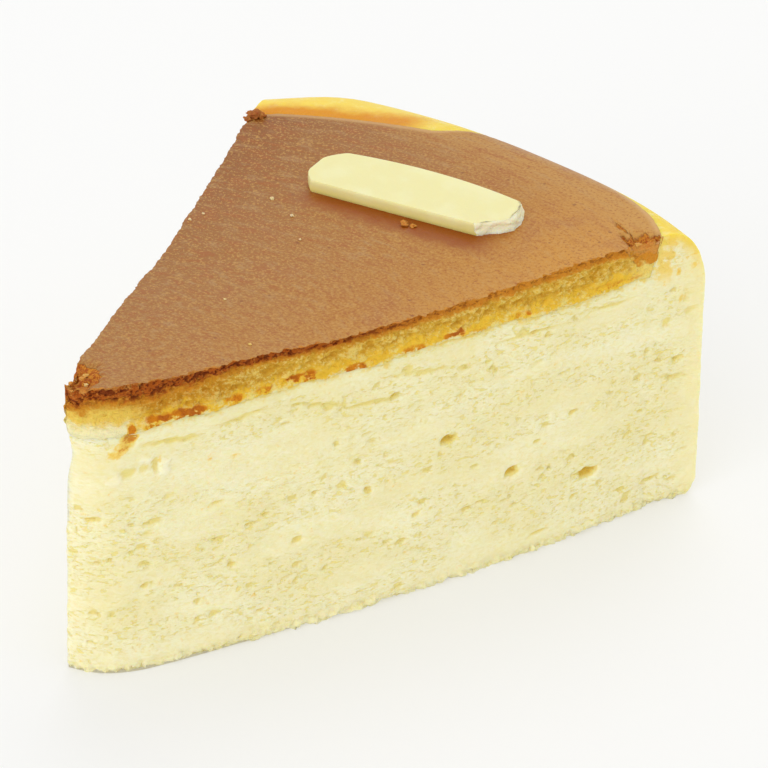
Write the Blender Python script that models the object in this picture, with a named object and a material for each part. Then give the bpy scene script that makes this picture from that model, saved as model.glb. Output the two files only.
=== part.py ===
"""A cut eighth of a tall, soft baked cheesecake.

An ivory body with a rounded baked rim, a browned sponge layer lying in its top, and a small plain
white chocolate plaque on the skin. All three are solid food, shaped from grids of cells that are
extruded upwards and then moved into the form of the slice.
"""

import math

import bmesh
import bpy
import numpy as np
from mathutils import Vector, noise

# Sizes in millimetres. The slice points along -Y and stands on z = 0.
MM = 0.001
TIN_RADIUS = 100.0
RIGHT_CUT = math.radians(23.1)
LEFT_CUT = math.radians(21.2)
SLICE_MIDDLE = (-2.4, -52.4)  # moves the slice's middle onto the origin
SEED = 11

# The knife's point end is blunt: a narrow facet between two corners.
TIP_LEFT = (-2.4, 4.8)
TIP_RIGHT = (5.9, 10.8)
TIP_BULGE = 1.3
TIP_FACING = (0.58, -0.81)
RIGHT_SAG = 2.6
LEFT_HOLLOW = 0.5
TIP_UNDERCUT = (0.9, 34.4, 3.0)
TIP_LEAN = (1.5, 0.9)  # how far the point's left corner moves back by the top
BACK_CORNER_LOSS = 5.2

# Side profile of the whole cake.
RIM_TOP = 43.7
SHOULDER_WIDE = 8.5
SHOULDER_TALL = 9.6
SHOULDER_SHARPENS = 2.4
FOOT_ROUND = 3.0
OUTER_EDGE_INSET = 2.5  # where the rows over the top end and the upright side starts

# Browned layer. TIP_CHIP is where the skin is gone: place in plan, reach and depth. TIP_FLAP is a
# crumb that hangs out at the point's left corner, and TIP_UNDERCUT, above, the body's loss below it:
# size, height and half height.
LAYER_FLOOR = 37.2
LAYER_GAP = 0.3
LAYER_TAPER = 1.6
TIP_CHIP = (-1.6, 7.4, 4.6, 1.7)
TIP_FLAP = (0.9, 39.6, 1.6)

# Plaque.
PLAQUE_LONG = 32.4
PLAQUE_WIDE = 7.6
PLAQUE_THICK = 2.1
PLAQUE_ARC = 1.5
PLAQUE_TURN = math.radians(6.6)
PLAQUE_PLACE = (3.9, 72.1)

# How far the knife and the crumb roughen each surface.
CUT_ROUGHNESS = 0.2
FOOT_CRUMBLE = 0.5
SPONGE_CRUMB = 0.55
SPONGE_HOLLOW = 0.35
SKIN_EDGE_SHARE = 0.45
FLOOR_WAVE = 0.55
PLAQUE_SOFT_EDGE = 0.22
PLAQUE_BREAK = 0.7

COLUMNS = 16
FLOOR_STATIONS = 38
RIM_STATIONS = 7
BODY_COURSES = 15
LAYER_COURSES = 3

# Open bubbles in the right cut face: distance along it, height, half length, half height, depth.
BUBBLES = (
    (81.2, 9.8, 2.0, 1.1, 1.2),
    (68.6, 14.2, 1.7, 1.0, 0.9),
    (58.7, 22.4, 1.8, 1.0, 1.0),
    (45.0, 20.9, 1.5, 1.5, 0.7),
    (25.5, 13.2, 1.4, 1.0, 0.7),
    (35.3, 14.2, 1.4, 1.0, 0.7),
    (50.5, 31.7, 1.6, 1.0, 0.7),
)
# Torn places near the point end: distance along the face, height, reach each way, depth.
TEARS = (
    (14.0, 30.6, 2.2, 2.4, 1.7),
    (20.5, 29.0, 4.6, 2.6, 0.9),
    (40.0, 35.0, 9.0, 0.8, 0.7),
    (92.0, 32.0, 2.6, 3.4, 0.8),
)


def smooth(low, high, value):
    part = np.clip((value - low) / (high - low), 0.0, 1.0)
    return part * part * (3.0 - 2.0 * part)


def rough(points, size, seed):
    """Soft random bumps about zero, one for each point."""
    shift = Vector((seed * 7.3, seed * 3.1, seed * 5.7))
    return np.array([noise.noise(Vector(point) / size + shift) for point in points])


def clear_scene():
    for obj in list(bpy.data.objects):
        bpy.data.objects.remove(obj, do_unlink=True)


def rim_radius(angle):
    """The outer radius in plan: round, but pulled in at the left back corner."""
    lost = BACK_CORNER_LOSS * smooth(math.radians(-12), math.radians(-23), angle) ** 1.4
    return TIN_RADIUS - lost


def skin_radius(angle):
    """Where the browned layer stops: short of the rim at the left, over the shoulder elsewhere."""
    degrees = np.degrees(angle)
    left = 88.6 + 0.36 * (degrees + 9.0)
    over = 98.0 - 4.4 * smooth(12.0, 23.0, degrees)
    return left + (over - left) * smooth(-4.5, 2.0, degrees)


def shoulder_width(angle):
    return SHOULDER_WIDE - SHOULDER_SHARPENS * smooth(math.radians(4), math.radians(20), angle)


def side_radius(height, angle):
    """Outer radius at a height: upright, with a rounded foot and a wide rounded shoulder."""
    radius = rim_radius(angle)
    foot = np.clip((FOOT_ROUND - height) / FOOT_ROUND, 0.0, 1.0)
    up = np.clip((height - RIM_TOP + SHOULDER_TALL) / SHOULDER_TALL, 0.0, 1.0)
    radius = radius - FOOT_ROUND * (1.0 - np.sqrt(1.0 - foot**2))
    return radius - shoulder_width(angle) * (1.0 - np.sqrt(1.0 - up**2))


def top_height(radius, angle):
    """The skin's height: low in the middle of the slice, higher at point and rim, then the shoulder."""
    middle = np.interp(
        radius,
        (6, 15, 25, 35, 43, 62, 72, 80, 90),
        (45.2, 44.4, 44.0, 43.3, 42.7, 42.9, 43.2, 43.6, RIM_TOP),
    )
    wide = shoulder_width(angle)
    out = (radius - rim_radius(angle) + wide) / wide
    fall = SHOULDER_TALL * (1.0 - np.sqrt(1.0 - np.clip(out, 0.0, 0.985) ** 2))
    return middle - fall


def plan(across, along, radius_out, height):
    """Place in plan: across -1 to 1 from the left cut to the right one, along 0 to 1 to radius_out."""
    share = 0.5 * (across + 1.0)
    angle = -LEFT_CUT + share * (LEFT_CUT + RIGHT_CUT)
    swell = TIP_BULGE * np.sin(math.pi * share)
    near_x = TIP_LEFT[0] + share * (TIP_RIGHT[0] - TIP_LEFT[0]) + swell * TIP_FACING[0]
    near_y = TIP_LEFT[1] + share * (TIP_RIGHT[1] - TIP_LEFT[1]) + swell * TIP_FACING[1]
    up = np.clip(height / RIM_TOP, 0.0, 1.0)
    near_x = near_x + TIP_LEAN[0] * up * (1.0 - share)
    near_y = near_y + TIP_LEAN[1] * up * (1.0 - share)
    middle = np.sin(math.pi * np.clip(along, 0.0, 1.0)) ** 0.7
    low = (1.0 - up) ** 0.8
    push = middle * (RIGHT_SAG * low * share**3 + LEFT_HOLLOW * (1.0 - share) ** 3)
    x = near_x + along * (radius_out * np.sin(angle) - near_x) + push
    y = near_y + along * (radius_out * np.cos(angle) - near_y)
    return x, y, angle


def box_of_cells(name, columns, stations, courses):
    """A closed block of cells: a flat grid, extruded upwards one course after another."""
    bpy.ops.mesh.primitive_grid_add(x_subdivisions=columns, y_subdivisions=stations, size=2.0)
    obj = bpy.context.active_object
    obj.name = name
    obj.data.name = name
    shape = bmesh.new()
    shape.from_mesh(obj.data)
    top = list(shape.faces)
    for course in range(courses):
        covered = top
        raised = bmesh.ops.extrude_face_region(shape, geom=top)
        top = [item for item in raised["geom"] if isinstance(item, bmesh.types.BMFace)]
        corners = [item for item in raised["geom"] if isinstance(item, bmesh.types.BMVert)]
        if course:
            bmesh.ops.delete(shape, geom=covered, context="FACES")
        bmesh.ops.translate(shape, verts=corners, vec=(0.0, 0.0, 1.0 / courses))
    bmesh.ops.recalc_face_normals(shape, faces=shape.faces)
    shape.to_mesh(obj.data)
    shape.free()
    return obj


def grid_places(obj):
    corners = np.array([vertex.co for vertex in obj.data.vertices])
    return corners[:, 0], 0.5 * (corners[:, 1] + 1.0), corners[:, 2]


def move_to(obj, x, y, z):
    corners = np.column_stack([x + SLICE_MIDDLE[0], y + SLICE_MIDDLE[1], z]) * MM
    obj.data.vertices.foreach_set("co", corners.ravel())
    obj.data.update()


def push_out(x, y, across, at_tip, amount):
    """Moves each cut surface of the slice outwards along its own facing."""
    right = np.where(across > 1.0 - 1e-6, amount, 0.0)
    left = np.where(across < 1e-6 - 1.0, amount, 0.0)
    tip = np.where(at_tip, amount, 0.0)
    x = x + right * math.cos(RIGHT_CUT) - left * math.cos(LEFT_CUT) + tip * TIP_FACING[0]
    y = y - right * math.sin(RIGHT_CUT) - left * math.sin(LEFT_CUT) + tip * TIP_FACING[1]
    return x, y


def face_pull(along_face, height):
    """How deep the right cut face is torn or pitted at a place on it."""
    depth = np.zeros_like(height)
    for far, high, reach, rise, deep in BUBBLES + TEARS:
        close = ((along_face - far) / reach) ** 2 + ((height - high) / rise) ** 2
        depth = depth + deep * np.exp(-close)
    return depth


def finish(obj, collection, colour, roughness):
    material = bpy.data.materials.new(obj.name)
    material.use_nodes = True
    shader = material.node_tree.nodes["Principled BSDF"]
    shader.inputs["Base Color"].default_value = (*colour, 1.0)
    shader.inputs["Roughness"].default_value = roughness
    shader.inputs["Metallic"].default_value = 0.0
    obj.data.materials.append(material)
    for old in list(obj.users_collection):
        old.objects.unlink(obj)
    collection.objects.link(obj)


def floor_height(across, along):
    """The layer's underside: wavy, a little higher towards the rim."""
    points = np.column_stack([across * 2.0, along * 16.0, np.zeros_like(along)])
    waves = FLOOR_WAVE * (rough(points, 1.0, SEED) + 0.6 * rough(points, 0.4, SEED + 1))
    return LAYER_FLOOR + waves + 0.8 * smooth(0.86, 1.0, along)


def make_body(collection):
    """The ivory body: its top is a shallow bed for the layer, with the bare rim behind it."""
    stations = FLOOR_STATIONS + RIM_STATIONS
    obj = box_of_cells("cheesecake_body", COLUMNS, stations, BODY_COURSES)
    across, station, course = grid_places(obj)
    row = np.rint(station * stations)
    height_part = np.interp(course, (0.0, 0.14, 0.8, 1.0), (0.0, 0.07, 0.82, 1.0))
    on_floor = row <= FLOOR_STATIONS
    along = np.clip(row / FLOOR_STATIONS, 0.0, 1.0)
    back = np.clip((row - FLOOR_STATIONS - 1) / (RIM_STATIONS - 1), 0.0, 1.0)

    _, _, angle = plan(across, along, TIN_RADIUS, 0.0 * along)
    skin = np.minimum(skin_radius(angle), side_radius(RIM_TOP - 3.0, angle))
    edge = rim_radius(angle) - OUTER_EDGE_INSET
    rim_at = skin + 0.35 + back**0.8 * np.maximum(edge - skin - 0.35, 0.9)
    top = np.where(on_floor, floor_height(across, along), top_height(rim_at, angle))
    height = height_part * top

    bed_end = skin - LAYER_TAPER
    top_radius = np.where(on_floor, bed_end, rim_at)
    below = smooth(1.0, 0.55, height_part)
    last = side_radius(height, angle)
    spread = bed_end + (row - FLOOR_STATIONS) / RIM_STATIONS * (last - bed_end)
    low_radius = np.where(on_floor, bed_end, spread)
    radius_out = np.where(row == stations, last, top_radius + below * (low_radius - top_radius))
    x, y, angle = plan(across, along, radius_out, height)

    points = np.column_stack([x, y, height * 1.6])
    fine = rough(points, 3.4, SEED + 2)
    coarse = rough(points, 11.0, SEED + 3)
    lift = smooth(0.0, 1.5, height)
    amount = CUT_ROUGHNESS * (fine + coarse) * lift
    amount = amount + FOOT_CRUMBLE * rough(points, 2.3, SEED + 4) * (1.0 - lift)
    torn = face_pull(np.hypot(x, y), height)
    amount = amount - np.where(across > 1.0 - 1e-6, torn, 0.0)
    x, y = push_out(x, y, across, row == 0, amount)
    cut, cut_at, cut_tall = TIP_UNDERCUT
    at_point = np.exp(-((station * 22.0) ** 2) - (0.5 * (across + 1.0)) ** 2)
    x = x + cut * at_point * np.exp(-(((height - cut_at) / cut_tall) ** 2))
    move_to(obj, x, y, height)
    finish(obj, collection, (0.90, 0.82, 0.56), 0.75)


def make_layer(collection):
    """The browned sponge: one slab, thin enough at the back to tuck into the rim."""
    obj = box_of_cells("sponge_layer", COLUMNS, FLOOR_STATIONS, LAYER_COURSES)
    across, along, course = grid_places(obj)
    _, _, angle = plan(across, along, TIN_RADIUS, 0.0 * along)
    skin = np.minimum(skin_radius(angle), side_radius(RIM_TOP - 3.0, angle))
    level = np.interp(course, (0.0, 1.0 / 3.0, 2.0 / 3.0, 1.0), (0.0, 0.4, 0.88, 1.0))
    radius_out = skin - LAYER_TAPER * (1.0 - level)
    bottom = floor_height(across, along) + LAYER_GAP
    x, y, angle = plan(across, along, radius_out, bottom)
    radius = np.hypot(x, y)
    top = top_height(radius, angle)
    chip_x, chip_y, chip_reach, chip_deep = TIP_CHIP
    chip = np.exp(-((((x - chip_x) ** 2 + (y - chip_y) ** 2) / chip_reach**2) ** 2))
    points = np.column_stack([x, y, 30.0 * level])
    grain = rough(points, 2.6, SEED + 5)
    top = top - chip * chip_deep * (1.0 + 0.8 * grain)
    height = bottom + level * (top - bottom)

    amount = SPONGE_CRUMB * (grain + 0.5 * rough(points, 6.0, SEED + 6))
    amount = amount - SPONGE_HOLLOW * np.sin(math.pi * level)
    amount = amount * np.where(course > 0.99, SKIN_EDGE_SHARE, 1.0)
    x, y = push_out(x, y, across, along < 1e-6, amount)
    flap, flap_at, flap_tall = TIP_FLAP
    out = flap * np.exp(-(((height - flap_at) / flap_tall) ** 2) - (along * 24.0) ** 2)
    x = x - np.where(across < 1e-6 - 1.0, out, 0.0)
    move_to(obj, x, y, height)
    finish(obj, collection, (0.45, 0.20, 0.07), 0.4)


def make_plaque(collection):
    """The plaque: a thin bar with a bowed back edge, soft corners and one broken end."""
    obj = box_of_cells("chocolate_plaque", 16, 6, 4)
    across, depth, course = grid_places(obj)
    depth = 2.0 * depth - 1.0
    end = np.abs(across) ** 7
    long = across * (0.5 * PLAQUE_LONG - 0.9 * end * np.abs(depth) ** 4)
    wide = depth * 0.5 * PLAQUE_WIDE * (1.0 - 0.13 * end)
    wide = wide + PLAQUE_ARC * smooth(-0.2, 1.0, depth) * (1.0 - across**2)
    edge = np.maximum(np.abs(across) ** 24, np.abs(depth) ** 8)
    rounding = PLAQUE_SOFT_EDGE * edge * (2.0 * course - 1.0) ** 4
    long = long - rounding * np.sign(across) * np.abs(across) ** 6
    wide = wide - rounding * np.sign(depth) * np.abs(depth) ** 4
    up = (course - 0.5) * PLAQUE_THICK * (1.0 - 0.1 * edge)
    points = np.column_stack([long, wide, up])
    chips = rough(points, 1.6, SEED + 7) - course
    broken = PLAQUE_BREAK * smooth(0.93, 1.0, across) * chips
    long = long + broken
    turn_cos = math.cos(PLAQUE_TURN)
    turn_sin = math.sin(PLAQUE_TURN)
    x = PLAQUE_PLACE[0] + long * turn_cos - wide * turn_sin
    y = PLAQUE_PLACE[1] + long * turn_sin + wide * turn_cos
    bed = top_height(np.hypot(x, y), np.arctan2(x, y))
    z = bed + LAYER_GAP + 0.5 * PLAQUE_THICK + up
    move_to(obj, x, y, z)
    finish(obj, collection, (0.90, 0.86, 0.52), 0.35)


clear_scene()
slice_parts = bpy.data.collections.new("cheesecake_slice")
bpy.context.scene.collection.children.link(slice_parts)
make_body(slice_parts)
make_layer(slice_parts)
make_plaque(slice_parts)
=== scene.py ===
"""The looks of a cheesecake slice: baked crumb, browned sponge layer, plaque and loose crumbs."""

import math

import bpy
import numpy as np
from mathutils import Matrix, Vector, noise


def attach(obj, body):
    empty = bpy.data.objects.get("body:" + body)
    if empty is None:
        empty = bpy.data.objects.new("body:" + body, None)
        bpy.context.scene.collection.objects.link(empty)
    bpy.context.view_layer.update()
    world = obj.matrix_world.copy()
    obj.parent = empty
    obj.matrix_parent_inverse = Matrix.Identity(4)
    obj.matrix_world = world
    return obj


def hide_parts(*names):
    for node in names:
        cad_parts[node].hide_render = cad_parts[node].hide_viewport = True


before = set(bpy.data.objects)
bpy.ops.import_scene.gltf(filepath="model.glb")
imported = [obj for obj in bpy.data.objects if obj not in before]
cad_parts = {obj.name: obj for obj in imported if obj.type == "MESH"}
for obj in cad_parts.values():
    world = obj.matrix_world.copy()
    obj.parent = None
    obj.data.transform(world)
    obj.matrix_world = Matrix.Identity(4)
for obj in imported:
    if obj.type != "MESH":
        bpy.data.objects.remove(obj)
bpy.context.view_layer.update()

# The ivory body is baked cream cheese crumb: matt, moist and full of small flat bubbles. The knife
# has left two pitted cut faces and a blunt point, and the tin a rounded golden rim.
# It is one block, raised from a flat grid and moved into form. Sizes are in millimetres.
MM = 0.001
TIN_RADIUS = 100.0
RIGHT_CUT = math.radians(23.1)
LEFT_CUT = math.radians(21.2)
SLICE_MIDDLE = (-2.4, -52.4)
SEED = 11

TIP_LEFT = (-2.4, 4.8)
TIP_RIGHT = (5.9, 10.8)
TIP_BULGE = 1.3
TIP_FACING = np.array((0.58, -0.81))
RIGHT_FACING = np.array((math.cos(RIGHT_CUT), -math.sin(RIGHT_CUT)))
LEFT_FACING = np.array((-math.cos(LEFT_CUT), -math.sin(LEFT_CUT)))
TIP_LEAN = (1.5, 0.9)
# How far in, at what height, and half how tall.
TIP_UNDERCUT = (0.9, 34.4, 3.0)
# How wide a strip is rubbed away beside each upright edge of the point, and how deep.
RIGHT_EDGE_SOFT = (3.4, 0.03)
LEFT_EDGE_SOFT = (1.2, 0.35)
RIGHT_SAG = 2.6
LEFT_HOLLOW = 0.5
BACK_CORNER_LOSS = 5.2

RIM_TOP = 43.7
SHOULDER_WIDE = 8.5
SHOULDER_TALL = 9.6
SHOULDER_SHARPENS = 2.4
FOOT_ROUND = 3.0
OUTER_EDGE_INSET = 2.5
LAYER_FLOOR = 37.2
LAYER_TAPER = 1.6

BODY_COLUMNS = 36
BODY_FLOOR_STATIONS = 236
BODY_RIM_STATIONS = 24
BODY_COURSES = 118
EVEN_COURSES = 0.92
EVEN_HEIGHT = 36.0

# Distance along the right cut face, height, half length, half height, depth. Lengths below 12
# are on the blunt point.
BUBBLES = (
    (81.2, 9.8, 1.8, 0.88, 1.3),
    (68.6, 14.2, 1.3, 0.76, 1.1),
    (58.7, 22.4, 1.4, 0.8, 1.1),
    (45.9, 18.5, 0.84, 0.67, 0.65),
    (44.4, 23.3, 0.92, 0.52, 0.54),
    (25.5, 13.2, 0.77, 0.52, 0.54),
    (35.3, 14.2, 0.77, 0.48, 0.5),
    (50.5, 31.7, 0.84, 0.52, 0.54),
    (78.5, 20.5, 0.77, 0.44, 0.5),
    (65.4, 31.4, 0.71, 0.44, 0.45),
    (60.9, 10.8, 0.71, 0.44, 0.45),
    (41.4, 26.9, 0.77, 0.44, 0.45),
    (30.7, 19.4, 1, 0.4, 0.41),
    (13.5, 13.3, 0.71, 0.52, 0.54),
    (8.4, 18.2, 0.64, 0.48, 0.45),
    (5.7, 24.4, 0.77, 0.48, 0.45),
    (86.9, 4.9, 0.92, 0.44, 0.45),
    (53, 12.5, 0.77, 0.44, 0.41),
    (72.6, 17.8, 0.71, 0.44, 0.41),
    (62.5, 17, 0.84, 0.44, 0.36),
    (38, 20.5, 0.77, 0.44, 0.36),
    (75, 12.9, 0.64, 0.44, 0.41),
    (90.2, 16.6, 0.84, 0.44, 0.36),
    (20.4, 8.8, 0.77, 0.44, 0.41),
)
# The same, for soft hollows where crumb has been pulled away.
TEARS = (
    (11.2, 31.4, 1.5, 1.2, 0.28),
    (13.4, 31.6, 1.3, 0.9, 0.21),
    (15.2, 31.6, 0.6, 1.6, 0.35),
    (11.4, 36, 1, 1.3, 0.35),
    (94, 29.6, 0.8, 1.3, 0.28),
    (93.2, 25, 0.9, 0.6, 0.21),
    (96.2, 23.2, 1.4, 0.6, 0.24),
    (97, 33.6, 0.8, 1.6, 0.21),
    (91, 32.6, 1.2, 0.6, 0.21),
)
# The same, for crumb that stands proud.
FLAKES = ((16.4, 31.0, 1.15, 1.5, 0.3), (13.6, 32.9, 1.3, 0.7, 0.2), (9.4, 30.6, 1.2, 1.0, 0.2))
# Ragged lines where the crumb has torn: start and end along the face and up, half width, depth.
RIPS = (
    (13, 35.2, 22.5, 33.9, 0.59, 0.44),
    (24, 34.6, 31.5, 35.4, 0.53, 0.32),
    (35.5, 34.6, 43.5, 32.4, 0.56, 0.4),
    (42, 31.9, 52, 31.4, 0.49, 0.4),
    (50, 34.6, 60, 33.4, 0.56, 0.36),
    (66, 34.9, 78, 34.8, 0.5, 0.32),
    (80, 35.6, 88, 35.2, 0.5, 0.32),
    (71, 2.9, 74.5, 3.2, 0.42, 0.4),
    (90.5, 4.5, 94, 4.9, 0.42, 0.4),
    (92.5, 21.2, 98.3, 20, 0.56, 0.36),
    (22, 23, 25, 23.3, 0.42, 0.32),
)
# Where browned crumb was dragged over the cut: the same five sizes, the last a share of colour.
STAINS = (
    (12.0, 37.7, 1.2, 1.6, 1.2),
    (11.3, 36.5, 1.7, 1.3, 1.2),
    (10.4, 35.5, 1.8, 1.1, 1.0),
    (9.2, 34.7, 1.7, 1.0, 0.7),
    (7.6, 39.4, 1.3, 0.5, 0.45),
    (12.8, 39.4, 1.5, 0.6, 0.45),
    (15.0, 35.4, 0.9, 0.6, 0.35),
    (15.8, 31.4, 0.5, 1.8, 0.3),
    (93.9, 29.4, 0.8, 0.9, 0.45),
    (95.6, 37.6, 0.5, 1.3, 0.6),
    (96.4, 31.6, 1.4, 2.6, 0.28),
    (97.2, 24.0, 1.2, 2.2, 0.28),
    (94.8, 20.7, 2.2, 0.6, 0.3),
)
PORES_EACH_FACE = 300
# Heights count this many times in random forms, so that the grain lies flat.
GRAIN_FLAT = 1.6
CRUMB_SMOOTH = 60
EDGE = 1.0 - 1e-6


def smooth(low, high, value):
    """0 below low, 1 above high, smooth between. The two may be given in either order."""
    part = np.clip((value - low) / (high - low), 0.0, 1.0)
    return part * part * (3.0 - 2.0 * part)


def rough(points, size, seed):
    """Soft random bumps about zero, one for each point."""
    shift = Vector((seed * 7.3, seed * 3.1, seed * 5.7))
    return np.array([noise.noise(Vector(point) / size + shift) for point in points])


def rim_radius(angle):
    """The tin's wall, with the left back corner rubbed away."""
    lost = BACK_CORNER_LOSS * smooth(math.radians(-12), math.radians(-23), angle) ** 1.4
    return TIN_RADIUS - lost


def skin_radius(angle):
    """Where the browned layer stops: short of the rim at the left, over the shoulder elsewhere."""
    degrees = np.degrees(angle)
    left = 88.6 + 0.36 * (degrees + 9.0) - 1.4 * smooth(-19.0, -21.5, degrees)
    over = np.interp(degrees, (5.0, 11.7, 16.3, 20.0, 23.1), (98.0, 96.4, 95.3, 94.3, 92.6))
    return left + (over - left) * smooth(-4.5, 2.0, degrees)


def shoulder_width(angle):
    """The rim's shoulder is sharper towards the right."""
    return SHOULDER_WIDE - SHOULDER_SHARPENS * smooth(math.radians(4), math.radians(20), angle)


def side_radius(height, angle):
    """The outer wall, rounded in at its foot and over the shoulder."""
    foot = np.clip((FOOT_ROUND - height) / FOOT_ROUND, 0.0, 1.0)
    up = np.clip((height - RIM_TOP + SHOULDER_TALL) / SHOULDER_TALL, 0.0, 1.0)
    radius = rim_radius(angle) - FOOT_ROUND * (1.0 - np.sqrt(1.0 - foot**2))
    return radius - shoulder_width(angle) * (1.0 - np.sqrt(1.0 - up**2))


def layer_edge(angle):
    """The outer edge of the browned layer, never past the wall just below the rim."""
    return np.minimum(skin_radius(angle), side_radius(RIM_TOP - 3.0, angle))


def top_height(radius, angle):
    """The skin's height: low in the middle, higher at the point and the rim, then the shoulder."""
    middle = np.interp(
        radius,
        (6, 15, 25, 35, 43, 62, 72, 80, 90),
        (45.2, 44.4, 44.0, 43.3, 42.7, 42.9, 43.2, 43.6, RIM_TOP),
    )
    wide = shoulder_width(angle)
    out = (radius - rim_radius(angle) + wide) / wide
    fall = SHOULDER_TALL * (1.0 - np.sqrt(1.0 - np.clip(out, 0.0, 0.985) ** 2))
    return middle - fall


def plan(across, along, radius_out, height):
    """Place in plan: across is -1 at the left cut and 1 at the right, along is 1 at radius_out."""
    share = 0.5 * (across + 1.0)
    angle = -LEFT_CUT + share * (LEFT_CUT + RIGHT_CUT)
    swell = TIP_BULGE * np.sin(math.pi * share)
    near_x = TIP_LEFT[0] + share * (TIP_RIGHT[0] - TIP_LEFT[0]) + swell * TIP_FACING[0]
    near_y = TIP_LEFT[1] + share * (TIP_RIGHT[1] - TIP_LEFT[1]) + swell * TIP_FACING[1]
    up = np.clip(height / RIM_TOP, 0.0, 1.0)
    near_x = near_x + TIP_LEAN[0] * up * (1.0 - share)
    near_y = near_y + TIP_LEAN[1] * up * (1.0 - share)
    middle = np.sin(math.pi * np.clip(along, 0.0, 1.0)) ** 0.7
    low = (1.0 - up) ** 0.8
    push = middle * (RIGHT_SAG * low * share**3 + LEFT_HOLLOW * (1.0 - share) ** 3)
    x = near_x + along * (radius_out * np.sin(angle) - near_x) + push
    y = near_y + along * (radius_out * np.cos(angle) - near_y)
    return x, y, angle


def floor_height(across, along):
    """The underside of the browned layer, wavy, on top of the body."""
    points = np.column_stack([across * 2.0, along * 16.0, np.zeros_like(along)])
    waves = 0.55 * (rough(points, 1.0, SEED) + 0.6 * rough(points, 0.4, SEED + 1))
    return LAYER_FLOOR + waves + 0.8 * smooth(0.86, 1.0, along)


def cut_length(x, y, across, at_tip):
    """Distance along the right cut. It carries on round the corner, along the blunt point."""
    corner = math.hypot(*TIP_RIGHT)
    on_point = corner - 0.5 * (1.0 - across) * math.dist(TIP_LEFT, TIP_RIGHT)
    return np.where(at_tip, on_point, np.hypot(x, y))


def soft_edges(x, y, across, at_tip):
    """How far the two upright edges of the point are rubbed away."""
    corner = math.hypot(*TIP_RIGHT)
    length = cut_length(x, y, across, at_tip)
    reach, loss = RIGHT_EDGE_SOFT
    near_right = np.clip(1.0 - np.abs(length - corner) / reach, 0.0, 1.0) ** 2
    from_left = np.where(
        at_tip,
        length - corner + math.dist(TIP_LEFT, TIP_RIGHT),
        np.hypot(x, y) - math.hypot(*TIP_LEFT),
    )
    left_reach, left_loss = LEFT_EDGE_SOFT
    near_left = np.clip(1.0 - np.abs(from_left) / left_reach, 0.0, 1.0) ** 2
    rubbed_right = np.where((across > EDGE) | at_tip, loss * near_right, 0.0)
    return rubbed_right + np.where((across < -EDGE) | at_tip, left_loss * near_left, 0.0)


def undercut(share, across, height):
    """How far the left edge of the point is drawn in under the browned layer."""
    cut, cut_at, cut_tall = TIP_UNDERCUT
    at_point = np.exp(-(share**2) - (0.5 * (across + 1.0)) ** 2)
    return cut * at_point * np.exp(-(((height - cut_at) / cut_tall) ** 2))


def push_out(x, y, across, at_tip, amount):
    """Moves each cut surface outwards along its own facing, and a corner along both."""
    right = across > EDGE
    left = across < -EDGE
    both_right = 1.0 / (1.0 + RIGHT_FACING @ TIP_FACING)
    both_left = 1.0 / (1.0 + LEFT_FACING @ TIP_FACING)
    share = np.where(right & at_tip, both_right, np.where(left & at_tip, both_left, 1.0)) * amount
    for where, facing in ((right, RIGHT_FACING), (left, LEFT_FACING), (at_tip, TIP_FACING)):
        x = x + np.where(where, share * facing[0], 0.0)
        y = y + np.where(where, share * facing[1], 0.0)
    return x, y


def block_of_cells(name, columns, stations, courses):
    """A closed block: a flat grid raised once, its upright edges then cut into courses."""
    bpy.ops.object.select_all(action="DESELECT")
    bpy.ops.mesh.primitive_grid_add(x_subdivisions=columns, y_subdivisions=stations, size=2.0)
    block = bpy.context.active_object
    block.name = name
    block.data.name = name
    bpy.ops.object.mode_set(mode="EDIT")
    bpy.ops.mesh.select_all(action="SELECT")
    bpy.ops.mesh.extrude_region_move(TRANSFORM_OT_translate={"value": (0.0, 0.0, 1.0)})
    bpy.ops.mesh.select_all(action="DESELECT")
    bpy.ops.mesh.select_mode(type="EDGE")
    bpy.ops.object.mode_set(mode="OBJECT")
    corners = block.data.vertices
    for edge in block.data.edges:
        low, high = edge.vertices
        edge.select = abs(corners[low].co.z - corners[high].co.z) > 0.5
    bpy.ops.object.mode_set(mode="EDIT")
    bpy.ops.mesh.subdivide(number_cuts=courses - 1)
    bpy.ops.mesh.select_all(action="SELECT")
    bpy.ops.mesh.normals_make_consistent(inside=False)
    bpy.ops.object.mode_set(mode="OBJECT")
    return block


def cell_places(block):
    """Across -1 to 1, along 0 to 1 and up 0 to 1 for each corner of the block."""
    corners = np.empty(len(block.data.vertices) * 3)
    block.data.vertices.foreach_get("co", corners)
    corners = corners.reshape(-1, 3)
    return corners[:, 0], 0.5 * (corners[:, 1] + 1.0), corners[:, 2]


def move_to(block, x, y, z):
    """Places the corners, given in millimetres from the slice's ideal point."""
    corners = np.column_stack([x + SLICE_MIDDLE[0], y + SLICE_MIDDLE[1], z]) * MM
    block.data.vertices.foreach_set("co", corners.ravel())
    block.data.update()


def note_on(block, name, values):
    """Keeps a value for each corner, for the material to read."""
    kept = block.data.attributes.new(name, "FLOAT", "POINT")
    kept.data.foreach_set("value", np.ascontiguousarray(values, np.float32))


def smooth_shading(block, degrees):
    bpy.ops.object.select_all(action="DESELECT")
    block.select_set(True)
    bpy.context.view_layer.objects.active = block
    bpy.ops.object.shade_smooth_by_angle(angle=math.radians(degrees))


def ovals(far, high, places, edge):
    """The deepest of a list of ovals at each point, from soft (edge 0) to steep sided (near 1)."""
    depth = np.zeros_like(far)
    for middle, level, reach, rise, deep in places:
        close = ((far - middle) / reach) ** 2 + ((high - level) / rise) ** 2
        near = close < 1.0
        depth[near] = np.maximum(depth[near], deep * smooth(1.0, edge, close[near]))
    return depth


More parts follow.
